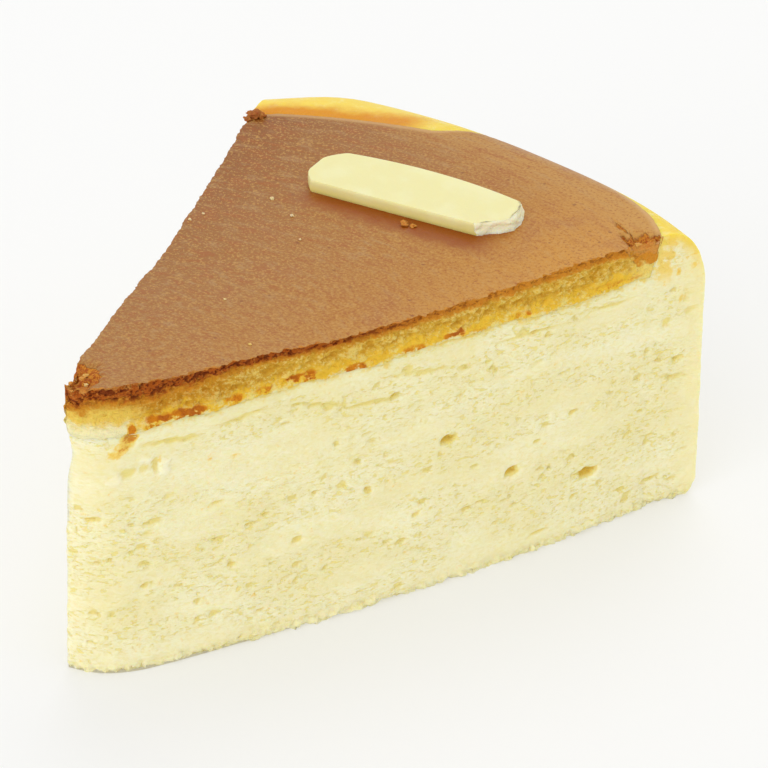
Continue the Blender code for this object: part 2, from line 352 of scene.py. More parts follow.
def rip_depth(far, high, rips):
    """The depth of ragged lines, deepest half way along each."""
    depth = np.zeros_like(far)
    for far_a, high_a, far_b, high_b, half, deep in rips:
        run = np.array([far_b - far_a, high_b - high_a])
        part = ((far - far_a) * run[0] + (high - high_a) * run[1]) / (run @ run)
        part = np.clip(part, 0.0, 1.0)
        away = np.hypot(far - far_a - part * run[0], high - high_a - part * run[1])
        taper = 0.35 + 0.65 * np.sin(math.pi * part)
        depth = np.maximum(depth, deep * taper * smooth(half, 0.0, away))
    return depth


def random_pores(seed, count):
    """Small flat bubbles, scattered over a cut face: a few large ones and many small."""
    draw = np.random.default_rng(seed)
    far = draw.uniform(0.0, 98.0, count)
    high = draw.uniform(1.2, 36.0, count)
    size = np.minimum(draw.gamma(2.2, 0.14, count) + 0.36, 1.1)
    rise = size * draw.uniform(0.4, 0.65, count)
    deep = np.minimum(0.6 * rise + 0.05, 0.32)
    return list(zip(far, high, size, np.maximum(rise, 0.26), deep))


def knife_wave(points):
    """The slow waver of the knife, shared by the body and the layer on it."""
    return 0.2 * (rough(points, 3.4, SEED + 2) + rough(points, 11.0, SEED + 3))


body_rows = BODY_FLOOR_STATIONS + BODY_RIM_STATIONS
body = block_of_cells("ivory_crumb_body", BODY_COLUMNS, body_rows, BODY_COURSES)
across, station, course = cell_places(body)
row = np.rint(station * body_rows)
on_floor = row <= BODY_FLOOR_STATIONS
at_tip = row == 0
along = np.clip(row / BODY_FLOOR_STATIONS, 0.0, 1.0)
back = np.clip((row - BODY_FLOOR_STATIONS - 1) / (BODY_RIM_STATIONS - 1), 0.0, 1.0)

_, _, angle = plan(across, along, TIN_RADIUS, 0.0 * along)
skin = layer_edge(angle)
edge = rim_radius(angle) - OUTER_EDGE_INSET
rim_at = skin + 0.1 + back**0.8 * np.maximum(edge - skin - 0.1, 0.9)
bed = floor_height(across, along)
top = np.where(on_floor, bed, top_height(rim_at, angle))
upper = (course - EVEN_COURSES) / (1.0 - EVEN_COURSES)
even = course / EVEN_COURSES * EVEN_HEIGHT
height = np.where(course < EVEN_COURSES, even, EVEN_HEIGHT + upper * (top - EVEN_HEIGHT))

bed_end = skin - LAYER_TAPER
top_radius = np.where(on_floor, bed_end, rim_at)
below_top = smooth(EVEN_HEIGHT, 24.0, height)
last = side_radius(height, angle)
spread = bed_end + (row - BODY_FLOOR_STATIONS) / BODY_RIM_STATIONS * (last - bed_end)
low_radius = np.where(on_floor, bed_end, spread)
radius_out = np.where(row == body_rows, last, top_radius + below_top * (low_radius - top_radius))
x, y, angle = plan(across, along, radius_out, height)

# Relief of the cut faces: bubbles, tears and pores go in, flakes and crumb at the foot stand out.
# The left face is out of the photo's sight and gets pores of its own.
points = np.column_stack([x, y, height * GRAIN_FLAT])
lift = smooth(0.0, 1.5, height)
wander = 0.5 * rough(points, 1.3, SEED + 8) + 0.3 * rough(points, 0.75, SEED + 18)
far = cut_length(x, y, across, at_tip) + wander
high = height + 0.4 * wander
on_left = across < -EDGE
on_right = (across > EDGE) | at_tip
below = np.where(on_floor, bed - height, 20.0)
seam = smooth(0.0, 0.7, below)
torn = ovals(far, high, BUBBLES, 0.0) + ovals(far, high, TEARS, 0.0) + rip_depth(far, high, RIPS)
smear = smooth(0.02, 0.3, rough(np.column_stack([x * 0.4, y * 0.4, height * 1.3]), 5.0, SEED + 9))
knifed = smooth(1.0, 0.3, np.abs((height - 32.5 + 0.16 * far) / 5.0)) * smooth(70.0, 20.0, far)
smear = np.maximum(smear, knifed)
open_grain = 1.0 - 0.8 * smear
right_pits = torn + open_grain * ovals(far, high, random_pores(SEED, PORES_EACH_FACE), 0.2)
left_pits = open_grain * ovals(far, high, random_pores(SEED + 40, PORES_EACH_FACE), 0.2)
pits = np.where(on_right, right_pits, np.where(on_left, left_pits, 0.0)) * lift * seam
flakes = np.where(on_right, ovals(far, high, FLAKES, 0.4), 0.0)
grain = 0.09 * rough(points, 0.9, SEED + 10) + 0.04 * rough(points, 0.45, SEED + 11)
amount = knife_wave(points) * lift + 0.5 * rough(points, 2.3, SEED + 4) * (1.0 - lift)
amount = amount + grain * lift * seam * (1.0 - 0.6 * smear) - pits + flakes
foot = smooth(2.4, 0.2, height)
ragged_foot = 0.7 * rough(points, 1.3, SEED + 16) + 0.6 * rough(points, 0.5, SEED + 17)
amount = amount + foot * ragged_foot
amount = amount - 0.6 * smooth(0.7, 0.0, height)
radius = np.hypot(x, y)
crust = np.minimum(top_height(radius, angle) - height, side_radius(height, angle) - radius)
x, y = push_out(x, y, across, at_tip, amount - soft_edges(x, y, across, at_tip))
x = x + undercut(station * 22.0, across, height)
move_to(body, x, y, height)
smooth_shading(body, CRUMB_SMOOTH)
note_on(body, "pit", pits)
note_on(body, "below", below)
note_on(body, "smear", smear)
note_on(body, "flake", flakes)
note_on(body, "stain", np.where(on_right, ovals(far, high, STAINS, 0.0), 0.0))
note_on(body, "lip", np.where(on_floor, 0.0, np.hypot(x, y) - skin))
note_on(body, "crust", crust)
note_on(body, "beside", np.where(on_floor, 0.0, smooth(3.4, 0.0, np.hypot(x, y) - skin)))


class Wire:
    """A value in a material. Its operators add Math nodes."""

    def __init__(self, finish, socket):
        self.finish = finish
        self.socket = socket

    def other(self, output):
        """Another output of the same node."""
        return Wire(self.finish, self.socket.node.outputs[output])

    def maths(self, operation, first, second):
        return self.finish.node("ShaderNodeMath", {"operation": operation}, {0: first, 1: second})

    def __add__(self, other):
        return self.maths("ADD", self, other)

    def __radd__(self, other):
        return self.maths("ADD", other, self)

    def __sub__(self, other):
        return self.maths("SUBTRACT", self, other)

    def __rsub__(self, other):
        return self.maths("SUBTRACT", other, self)

    def __mul__(self, other):
        return self.maths("MULTIPLY", self, other)

    def __rmul__(self, other):
        return self.maths("MULTIPLY", other, self)

    def __truediv__(self, other):
        return self.maths("DIVIDE", self, other)


class Finish:
    """One material: its nodes, and the surface shader that they end in."""

    def __init__(self, name, **constants):
        self.material = bpy.data.materials.new(name)
        self.material.use_nodes = True
        self.tree = self.material.node_tree
        self.shader = self.tree.nodes["Principled BSDF"]
        for socket, value in constants.items():
            self.shader.inputs[socket.replace("_", " ")].default_value = value

    def node(self, kind, settings, sockets, output=0):
        """Adds a node. A socket takes either a Wire, which is linked to it, or a plain value."""
        made = self.tree.nodes.new(kind)
        for name, value in settings.items():
            if name == "stops":
                ramp = made.color_ramp.elements
                while len(ramp) < len(value):
                    ramp.new(1.0)
                for stop, (place, colour) in zip(ramp, value):
                    stop.position = place
                    stop.color = (*colour, 1.0)
            else:
                setattr(made, name, value)
        for name, value in sockets.items():
            if isinstance(value, Wire):
                self.tree.links.new(value.socket, made.inputs[name])
            else:
                made.inputs[name].default_value = value
        return Wire(self, made.outputs[output])

    def place(self, stretch=(1.0, 1.0, 1.0)):
        """Object coordinates in millimetres from the slice's ideal point, stretched."""
        spot = self.node("ShaderNodeTexCoord", {}, {}, "Object")
        scale = tuple(part / MM for part in stretch)
        shift = (-SLICE_MIDDLE[0] * stretch[0], -SLICE_MIDDLE[1] * stretch[1], 0.0)
        return self.node(
            "ShaderNodeMapping", {}, {"Vector": spot, "Scale": scale, "Location": shift}
        )

    def part_of(self, spot, axis):
        return self.node("ShaderNodeSeparateXYZ", {}, {0: spot}, axis)

    def length_of(self, spot):
        return self.node("ShaderNodeVectorMath", {"operation": "LENGTH"}, {0: spot}, "Value")

    def kept(self, name):
        """A value that note_on kept."""
        return self.node("ShaderNodeAttribute", {"attribute_name": name}, {}, "Fac")

    def cloud(self, spot, size, detail=2.0, roughness=0.55):
        sockets = {"Vector": spot, "Scale": 1.0 / size, "Detail": detail, "Roughness": roughness}
        return self.node("ShaderNodeTexNoise", {}, sockets)

    def stirred(self, spot, size, reach):
        """A place moved about at random by up to reach, to break up round shapes."""
        swirl = self.cloud(spot, size).other("Color")
        sockets = {0: swirl, 1: (reach,) * 3, 2: spot}
        return self.node("ShaderNodeVectorMath", {"operation": "MULTIPLY_ADD"}, sockets)

    def holes(self, spot, size, widest):
        """Scattered holes of many sizes: 1 in a hole, 0 between. Lengths are in millimetres."""
        cells = self.node("ShaderNodeTexVoronoi", {}, {"Vector": spot, "Scale": 1.0 / size})
        reach = self.part_of(cells.other("Color"), "X") * (widest / size)
        return self.step(cells, reach, reach * 0.35)

    def step(self, value, low, high):
        """0 below low, 1 above high, smooth between. The two may be given in either order."""
        sockets = {0: value, 1: low, 2: high}
        return self.node("ShaderNodeMapRange", {"interpolation_type": "SMOOTHSTEP"}, sockets)

    def blend(self, share, first, second):
        colours = [part if isinstance(part, Wire) else (*part, 1.0) for part in (first, second)]
        sockets = {0: share, 6: colours[0], 7: colours[1]}
        return self.node("ShaderNodeMix", {"data_type": "RGBA"}, sockets, 2)

    def ramp(self, value, stops):
        return self.node("ShaderNodeValToRGB", {"stops": stops}, {0: value})

    def bump(self, height, depth, strength=1.0, under=None):
        """A Bump node: height 0 to 1 stands for depth in millimetres."""
        sockets = {"Height": height, "Distance": depth * MM, "Strength": strength}
        if under is not None:
            sockets["Normal"] = under
        return self.node("ShaderNodeBump", {}, sockets)

    def join(self, **links):
        """Links wires to the surface shader and gives the finished material."""
        for socket, wire in links.items():
            self.tree.links.new(wire.socket, self.shader.inputs[socket.replace("_", " ")])
        return self.material


IVORY = (0.868, 0.800, 0.472)
IVORY_PALE = (0.90, 0.855, 0.575)
IVORY_DEEP = (0.85, 0.76, 0.36)
CRUMB_PALE_AND_HIGHLIGHT = (0.925, 0.885, 0.63)
PORE_SHADE_YELLOW = (0.84, 0.715, 0.225)
BUBBLE_SHADE_YELLOW = (0.80, 0.57, 0.085)
BAKED_YELLOW = (0.87, 0.60, 0.085)
BAKED_ORANGE = (0.62, 0.22, 0.015)
RIM_YELLOW = (0.86, 0.63, 0.075)
RIM_BROWN = (0.68, 0.25, 0.008)
WALL_PALE = (0.88, 0.79, 0.40)
POINT_PAINTED_LIGHT = (0.93, 0.895, 0.665)

crumb = Finish(
    "ivory_crumb",
    IOR=1.4,
    Specular_IOR_Level=0.3,
    Subsurface_Weight=0.6,
    Subsurface_Radius=(1.0, 0.8, 0.4),
    Subsurface_Scale=0.0012,
)
smeared = crumb.kept("smear")
pit = crumb.kept("pit")
up = crumb.part_of(crumb.place(), "Z")
east = crumb.part_of(crumb.place(), "X")
patches = crumb.cloud(crumb.place((0.5, 0.5, 0.9)), 5.0, 3.0)
ragged = crumb.cloud(crumb.place((0.8, 0.8, 1.0)), 1.3, 3.0, 0.6)
from_centre = crumb.length_of(crumb.place((1.0, 1.0, 0.0)))
outside = crumb.step(from_centre + patches * 4.0, 96.5, 101.5)
crust = crumb.kept("crust") + (ragged - 0.5) * 2.4
shoulder = crumb.step(crust, 2.4, 0.2) * crumb.step(up + patches * 4.0, 38.0, 43.5)
baked = crumb.node("ShaderNodeMath", {"operation": "MAXIMUM"}, {0: outside, 1: shoulder})
open_grain = (1.0 - 0.75 * smeared) * (1.0 - 0.7 * baked)
flat_spot = crumb.stirred(crumb.place((1.0, 1.0, 2.4)), 1.0, 0.6)
pores = crumb.step(crumb.cloud(flat_spot, 1.0, 2.0, 0.5), 0.55, 0.65) * open_grain
small_pores = crumb.step(crumb.cloud(flat_spot, 0.4, 2.0, 0.5), 0.56, 0.68) * open_grain
wide = crumb.cloud(crumb.place((0.6, 0.6, 1.4)), 9.0)
fine = crumb.cloud(crumb.place((1.0, 1.0, 1.9)), 0.8, 4.0, 0.65)
tone = crumb.blend(crumb.step(wide, 0.35, 0.68), IVORY, IVORY_PALE)
# The blunt point, which faces the light, is painted paler: painted light.
tone = crumb.blend(crumb.step(east + patches * 4.0, 6.0, -2.0) * 0.6, tone, POINT_PAINTED_LIGHT)
tone = crumb.blend(crumb.step(fine, 0.54, 0.36) * 0.55, tone, IVORY_DEEP)
tone = crumb.blend(crumb.step(fine, 0.56, 0.70) * 0.5, tone, CRUMB_PALE_AND_HIGHLIGHT)
# Pores, pits, tears and bubbles are painted darker yellow inside them: painted shade in the
# hollows.
tone = crumb.blend(pores * 0.75, tone, PORE_SHADE_YELLOW)
tone = crumb.blend(small_pores * 0.4, tone, PORE_SHADE_YELLOW)
tone = crumb.blend(crumb.step(pit + fine * 0.2, 0.14, 0.36) * 0.8, tone, PORE_SHADE_YELLOW)
tone = crumb.blend(crumb.step(pit + fine * 0.3, 0.5, 0.95) * 0.85, tone, BUBBLE_SHADE_YELLOW)
# Crumb that stands proud is painted paler: a painted highlight.
tone = crumb.blend(crumb.step(crumb.kept("flake"), 0.05, 0.25) * 0.7, tone, CRUMB_PALE_AND_HIGHLIGHT)
# Under the browned layer, and where its crumb was dragged down, the body is stained yellow.
near_layer = crumb.step(crumb.kept("below") + (ragged - 0.5) * 3.4, 0.8, -0.3)
near_layer = near_layer * crumb.step(crumb.part_of(crumb.place(), "Y"), 9.0, 17.0)
tone = crumb.blend(near_layer * 0.85, tone, BAKED_YELLOW)
stained = crumb.kept("stain") + (ragged - 0.5) * 2.0 + (fine - 0.5) * 0.9
tone = crumb.blend(crumb.step(stained, 0.22, 0.75) * 0.85, tone, BAKED_YELLOW)
tone = crumb.blend(crumb.step(stained, 0.70, 1.15) * 0.9, tone, BAKED_ORANGE)
# The baked outside: yellow over the shoulder, browner beside the skin, and pale lower down.
upright = crumb.cloud(crumb.place((1.0, 1.0, 0.12)), 1.6, 3.0, 0.6)
mottled = crumb.cloud(crumb.place(), 2.2, 4.0, 0.65)
tone = crumb.blend(outside * 0.5, tone, WALL_PALE)
tone = crumb.blend(crumb.step(upright, 0.50, 0.66) * outside * 0.4, tone, IVORY_DEEP)
tone = crumb.blend(crumb.step(mottled, 0.56, 0.70) * outside * 0.35, tone, CRUMB_PALE_AND_HIGHLIGHT)
beside = crumb.step(crumb.kept("beside") + (ragged - 0.5) * 3.4, 0.1, 0.8)
tone = crumb.blend(beside * crumb.step(up + patches * 4.0, 37.5, 40.5) * 0.8, tone, BAKED_YELLOW)
tone = crumb.blend(shoulder * 0.92, tone, RIM_YELLOW)
tone = crumb.blend(crumb.step(mottled, 0.54, 0.68) * shoulder * 0.4, tone, BAKED_YELLOW)
tone = crumb.blend(crumb.step(mottled, 0.46, 0.32) * shoulder * 0.4, tone, WALL_PALE)
left_back = crumb.step(east, -7.0, -12.0) * crumb.step(east, -34.0, -30.5)
toasted = crumb.step(crumb.kept("lip") + (patches - 0.5) * 5.0 + (ragged - 0.5) * 2.0, 4.6, 1.4)
toasted = toasted * left_back * crumb.step(up, 38.0, 41.0)
tone = crumb.blend(toasted * 0.92, tone, RIM_BROWN)
tone = crumb.blend(crumb.step(up, 3.0, 0.2) * 0.35, tone, IVORY_DEEP)
relief = crumb.bump(fine, 0.15, 0.8)
relief = crumb.bump(1.0 - pores, 0.10, 0.7, relief)
relief = crumb.bump(1.0 - small_pores, 0.05, 0.7, relief)
relief = crumb.bump(mottled * baked, 0.25, 0.6, relief)
body.data.materials.append(
    crumb.join(
        Base_Color=tone,
        Roughness=0.62 + 0.25 * fine - 0.15 * smeared - 0.12 * baked,
        Normal=relief,
    )
)
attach(body, "root")
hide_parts("cheesecake_body")


# The browned layer is a thin coarse sponge under a smooth baked skin. It lies in the body's top,
# stops short of the rim at the left back, and has lost its skin at the point and the right corner.
LAYER_COLUMNS = 50
LAYER_STATIONS = 420
LAYER_COURSES = 28
SUNK = 0.3
# Lost skin: place in plan, reach, depth. The flap of crumb: how far out, height, half height.
TIP_CHIP = (-1.2, 7.6, 3.5, 1.5)
CORNER_TEAR = (35.0, 83.0, 2.9, 1.2)
TIP_FLAP = (0.7, 39.8, 1.5)
# A crack in the skin, in plan: start, end, half width, depth.
CORNER_CRACK = (28.6, 84.7, 33.2, 82.2, 0.4, 0.28)
# Where the plaque's painted shadow lies on the skin: place in plan and turn.
PLAQUE_SHADOW_PLACE = (4.0, 72.1, math.radians(6.6))
# Rust coloured streaks along the foot of the layer: start and end along the cut, height, strength.
RUST_STREAKS = (
    (14.6, 21.6, 38.2, 1.0),
    (20.4, 22.4, 37.9, 1.0),
    (26.0, 27.8, 38.2, 0.8),
    (30.4, 32.2, 38.4, 0.65),
    (34.6, 38.4, 38.6, 0.85),
    (43.6, 45.8, 37.6, 0.9),
    (52.2, 54.8, 37.9, 0.75),
    (58.8, 60.9, 38.1, 1.0),
    (62.8, 64.4, 37.6, 0.6),
    (69.8, 71.4, 38.2, 0.65),
    (81.2, 89.6, 38.6, 0.55),
)
STREAK_END = 0.8
NO_STREAK = 1e-6
NO_STREAK_LEVEL = 36.0

layer = block_of_cells("browned_sponge_layer", LAYER_COLUMNS, LAYER_STATIONS, LAYER_COURSES)
across, along, course = cell_places(layer)
at_tip = along < 1e-6
_, _, angle = plan(across, along, TIN_RADIUS, 0.0 * along)
skin = layer_edge(angle)
radius_out = skin - LAYER_TAPER * (1.0 - course) + 0.15
bottom = floor_height(across, along) - SUNK
x, y, angle = plan(across, along, radius_out, bottom)
top = top_height(np.hypot(x, y), angle)
chip_x, chip_y, chip_reach, chip_deep = TIP_CHIP
chip = np.exp(-((((x - chip_x) ** 2 + (y - chip_y) ** 2) / chip_reach**2) ** 2))
points = np.column_stack([x, y, 30.0 * course])
loose = rough(points, 2.6, SEED + 5)
small = rough(np.column_stack([x, y, 10.0 * course]), 1.1, SEED + 12)
top = top - chip * chip_deep * (1.0 + 0.8 * loose + 0.8 * small)
tear_x, tear_y, tear_reach, tear_deep = CORNER_TEAR
away = np.hypot(x - tear_x, 1.25 * (y - tear_y)) / tear_reach
tear = smooth(1.05, 0.55, away - 0.6 * small - 0.5 * loose)
crack = rip_depth(x + 1.5 * small, y + 0.9 * loose, [CORNER_CRACK])
top = top - tear * tear_deep * (0.75 + 0.9 * small) - crack
height = bottom + course * (top - bottom)

points = np.column_stack([x, y, height * GRAIN_FLAT])
length = cut_length(x, y, across, at_tip)
coarse = rough(points, 2.4, SEED + 5)
middling = rough(points, 1.15, SEED + 13)
tiny = rough(points, 0.55, SEED + 14)
depth_in = top - height
rise = height - bottom - SUNK
thick = 1.3 + 1.4 * smooth(32.0, 14.0, length) - 0.1 * smooth(45.0, 70.0, length)
strong = 1.0 - 0.55 * smooth(32.0, 66.0, length)
dark_band = smooth(0.25, 0.6, depth_in) * smooth(thick + 0.3, thick - 0.5, depth_in)
holes = dark_band * strong * smooth(-0.05, 0.35, middling + 0.7 * tiny)
lump = 0.4 * coarse + 0.5 * middling + 0.2 * tiny
free = smooth(0.0, 1.8, rise) * smooth(92.0, 84.0, length)
amount = free * (lump - 0.3 - 0.55 * holes)
lost_skin = (0.4 * middling + 0.25 * coarse + 0.6 * tiny) * np.where(across < -EDGE, 0.3, 1.0)
amount = np.where(course > 0.999, lost_skin + 0.1 - 0.9 * tear, amount)
tucked = 0.04 * smooth(0.2, 0.0, rise) + 0.2 * smooth(-0.1, -0.3, rise)
amount = amount + knife_wave(points) - tucked
x, y = push_out(x, y, across, at_tip, amount - soft_edges(x, y, across, at_tip))
flap, flap_at, flap_tall = TIP_FLAP
out = flap * np.exp(-(((height - flap_at) / flap_tall) ** 2) - (along * 24.0) ** 2)
x = x - np.where(across < -EDGE, out, 0.0)
x = x + undercut(along * 20.0, across, height)
move_to(layer, x, y, height)
smooth_shading(layer, CRUMB_SMOOTH)

rust = np.zeros_like(length)
total = np.full_like(length, NO_STREAK)
level_sum = NO_STREAK_LEVEL * total
for start, end, level, strength in RUST_STREAKS:
    beyond = np.maximum(np.maximum(start - length, length - end), 0.0)
    here = strength * np.exp(-((beyond / STREAK_END) ** 2))
    total = total + here
    level_sum = level_sum + here * level
    rust = np.maximum(rust, here)
rust_up = height - level_sum / total
bare = np.maximum(smooth(0.2, 0.5, chip + 0.3 * small), smooth(0.15, 0.5, tear))
bare = np.maximum(bare, 0.8 * smooth(0.05, 0.25, crack))
# The plaque's painted shadow: the skin is darkened in front of and under the plaque.
plaque_x, plaque_y, plaque_turn = PLAQUE_SHADOW_PLACE
long = (x - plaque_x) * math.cos(plaque_turn) + (y - plaque_y) * math.sin(plaque_turn)
wide = (y - plaque_y) * math.cos(plaque_turn) - (x - plaque_x) * math.sin(plaque_turn)
shade = smooth(-8.8, -5.4, wide + 0.8 * coarse) * smooth(3.0, 0.0, wide)
shade = shade * smooth(17.5, 11.0, np.abs(long))
note_on(layer, "bare", bare)
note_on(layer, "deep", depth_in / thick)
note_on(layer, "rise", rise)
note_on(layer, "holes", holes)
note_on(layer, "rust", rust)
note_on(layer, "rust_up", rust_up)
note_on(layer, "lump", lump)
note_on(layer, "length", length)
note_on(layer, "shade", shade)
note_on(layer, "hem", skin - np.hypot(x, y))
note_on(layer, "stain", ovals(length + 0.5 * coarse, height, STAINS, 0.0))

SKIN_STOPS = (
    (0.0, (0.212, 0.062, 0.006)),
    (0.30, (0.310, 0.130, 0.024)),
    (0.52, (0.375, 0.165, 0.030)),
    (0.74, (0.440, 0.190, 0.024)),
    (1.0, (0.58, 0.265, 0.029)),
)
SKIN_RED = (0.345, 0.100, 0.014)
SKIN_DARK = (0.20, 0.045, 0.008)
SKIN_TAN_AND_HIGHLIGHT = (0.52, 0.272, 0.064)
SKIN_PAINTED_SHEEN = (0.42, 0.25, 0.100)
SKIN_EDGE_HIGHLIGHT = (0.64, 0.38, 0.15)
SKIN_PAINTED_SHADOW = (0.28, 0.058, 0.0)
TORN_ORANGE = (0.68, 0.27, 0.025)
TORN_RED = (0.40, 0.085, 0.008)
CUT_SKIN = (0.66, 0.29, 0.06)
BROWNED = (0.42, 0.10, 0.010)
ORANGE_BROWN = (0.60, 0.25, 0.018)
ORANGE_PALE = (0.66, 0.27, 0.024)
DARK_SPECK_AND_HOLE_SHADE = (0.15, 0.024, 0.004)
MUSTARD = (0.72, 0.43, 0.05)
MUSTARD_WARM = (0.60, 0.30, 0.024)
MUSTARD_LIGHT = (0.86, 0.67, 0.19)
MUSTARD_DARK = (0.55, 0.255, 0.012)
FOOT_YELLOW = (0.87, 0.54, 0.045)
FOOT_PALE = (0.90, 0.74, 0.24)
FOOT_FADED = (0.87, 0.79, 0.42)
TOASTED = (0.60, 0.25, 0.015)
POINT_YELLOW = (0.88, 0.64, 0.12)
POINT_FOOT = (0.90, 0.82, 0.47)
CORNER_YELLOW = (0.87, 0.68, 0.20)
RUST = (0.64, 0.19, 0.006)
RUST_DARK = (0.36, 0.06, 0.005)

sponge = Finish(
    "browned_sponge",
    IOR=1.4,
    Specular_IOR_Level=0.15,
    Subsurface_Weight=0.25,
    Subsurface_Radius=(1.0, 0.6, 0.2),
    Subsurface_Scale=0.0008,
)
spot = sponge.place((1.0, 1.0, 1.3))
fine = sponge.cloud(spot, 0.45, 3.0, 0.65)
grains = sponge.cloud(spot, 1.1, 2.0)
clumps = sponge.cloud(spot, 2.6, 2.0)
granule = sponge.node(
    "ShaderNodeTexVoronoi", {}, {"Vector": sponge.stirred(spot, 0.7, 0.7), "Scale": 1.0 / 0.85}
)
lump = sponge.kept("lump")
length = sponge.kept("length")
rise = sponge.kept("rise") + (grains - 0.5) * 2.2 + (fine - 0.5) * 1.2
deep = sponge.kept("deep") + (grains - 0.5) * 0.7 + (fine - 0.5) * 0.6
# At the torn right corner the browned crumb reaches further down.
deep = deep - 0.7 * sponge.step(length + (grains - 0.5) * 8.0, 85.0, 90.0)
tone = sponge.blend(sponge.step(length + clumps * 10.0, 42.0, 26.0), MUSTARD, MUSTARD_WARM)
tone = sponge.blend(sponge.step(granule, 0.35, 0.8) * 0.55, tone, MUSTARD_DARK)
tone = sponge.blend(sponge.step(fine + lump * 0.4, 0.46, 0.68) * 0.75, tone, MUSTARD_LIGHT)
tone = sponge.blend(sponge.step(fine + lump * 0.5, 0.42, 0.24) * 0.55, tone, MUSTARD_DARK)
warm = sponge.step(length + clumps * 12.0, 38.0, 24.0)
tone = sponge.blend(warm * 0.4, tone, TOASTED)
foot = sponge.step(rise + (clumps - 0.5) * 3.0, 2.6, 1.0)
foot_share = sponge.step(clumps + (fine - 0.5) * 0.6, 0.5, 0.7)
foot_tone = sponge.blend(foot_share, FOOT_YELLOW, FOOT_PALE)
tone = sponge.blend(foot * 0.95, tone, foot_tone)
tip_share = sponge.step(length + (grains - 0.5) * 5.0, 15.0, 11.0)
tone = sponge.blend(tip_share * sponge.step(rise, 5.4, 3.8) * 0.85, tone, POINT_YELLOW)
tone = sponge.blend(tip_share * sponge.step(rise, 2.6, 0.8), tone, POINT_FOOT)
end_pale = sponge.step(length + (grains - 0.5) * 7.0, 86.0, 92.0)
tone = sponge.blend(end_pale * 0.85, tone, CORNER_YELLOW)
# The foot fades into the ivory body along a ragged line.
fade = sponge.step(sponge.kept("rise") + (grains - 0.5) * 2.4 + (fine - 0.5) * 1.2, 0.4, -0.3)
tone = sponge.blend(fade * 0.9, tone, FOOT_FADED)
# Below the skin the crumb is browned: deep and spotted at the point, thin and orange at the rim.
faint = sponge.step(length + clumps * 12.0, 38.0, 78.0)
brown = sponge.blend(sponge.step(deep, 0.75, 1.15), BROWNED, ORANGE_BROWN)
brown = sponge.blend(faint * 0.95, brown, ORANGE_PALE)
brown = sponge.blend(sponge.step(fine, 0.55, 0.72) * 0.6, brown, CUT_SKIN)
tone = sponge.blend(sponge.step(deep, 1.65, 1.05), tone, brown)
dots = sponge.cloud(sponge.place((0.8, 0.8, 1.3)), 0.5, 2.0)
below_skin = sponge.kept("deep")
dotted = sponge.step(below_skin, 0.12, 0.36) * sponge.step(below_skin, 1.15, 0.75)
dotted = dotted * (1.0 - 0.45 * faint)
tone = sponge.blend(sponge.step(dots, 0.50, 0.60) * dotted * 0.85, tone, DARK_SPECK_AND_HOLE_SHADE)
# Holes in the browned band are painted dark: painted shade in the holes. The dots above are real
# dark specks.
tone = sponge.blend(sponge.step(sponge.kept("holes"), 0.25, 0.8) * 0.7, tone, DARK_SPECK_AND_HOLE_SHADE)
tone = sponge.blend(sponge.step(deep, 0.32, 0.12) * 0.9, tone, CUT_SKIN)
rust_up = sponge.kept("rust_up") + (grains - 0.5) * 2.0 + (fine - 0.5) * 0.4
rust = sponge.kept("rust") - 1.1 * rust_up * rust_up + (grains - 0.5) * 1.1 + (fine - 0.5) * 0.5
rust = sponge.step(rust, 0.40, 0.9)
tone = sponge.blend(rust * 0.9, tone, RUST)
tone = sponge.blend(sponge.step(rust * clumps, 0.42, 0.62) * 0.6, tone, RUST_DARK)
stained = sponge.kept("stain") + (grains - 0.5) * 1.4 + (fine - 0.5) * 0.6
tone = sponge.blend(sponge.step(stained, 0.3, 0.8) * 0.85, tone, FOOT_YELLOW)
tone = sponge.blend(sponge.step(stained, 0.75, 1.1) * 0.9, tone, RUST)
relief = sponge.bump(granule, -0.3, 0.7)
relief = sponge.bump(grains, 0.4, 0.7, relief)
relief = sponge.bump(fine, 0.35, 0.9, relief)
layer.data.materials.append(
    sponge.join(Base_Color=tone, Roughness=0.7 + 0.25 * fine, Normal=relief)
)

# The skin on top: brown, more golden towards the right, mottled, with reddish streaks that follow
# the rim, and a painted shadow in front of and under the plaque. A pinkish grey sheen and a
# lighter shoulder and edge are painted highlights.
glaze = Finish("baked_skin", IOR=1.42, Specular_IOR_Level=0.36)
centred = glaze.place((1.0, 1.0, 0.0))
radius = glaze.length_of(centred)
east = glaze.part_of(centred, "X")
north = glaze.part_of(centred, "Y")
turn = glaze.node("ShaderNodeMath", {"operation": "ARCTAN2"}, {0: east, 1: north})
arcs = glaze.node("ShaderNodeCombineXYZ", {}, {0: turn * 15.0, 1: radius * 0.75})
streaks = glaze.cloud(arcs, 1.0, 5.0, 0.62)
mottle = glaze.cloud(glaze.place(), 6.5, 4.0, 0.6)
speckle = glaze.cloud(glaze.place(), 0.42, 3.0, 0.7)
freckles = glaze.holes(glaze.stirred(glaze.place(), 0.8, 0.5), 2.2, 0.42)
sheet = glaze.ramp((east + (mottle - 0.5) * 9.0 + 31.0) / 63.0, SKIN_STOPS)
# Towards the rim the skin is painted lighter: a painted highlight on the shoulder. Its speckles
# below use the same tan.
shoulder = glaze.step(radius + (mottle - 0.5) * 4.0, 84.0, 93.0)
sheet = glaze.blend(shoulder * 0.65, sheet, SKIN_TAN_AND_HIGHLIGHT)
faded = 1.0 - 0.55 * glaze.step(east, 2.0, 26.0)
sheet = glaze.blend(glaze.step(streaks, 0.49, 0.66) * faded * 0.65, sheet, SKIN_RED)
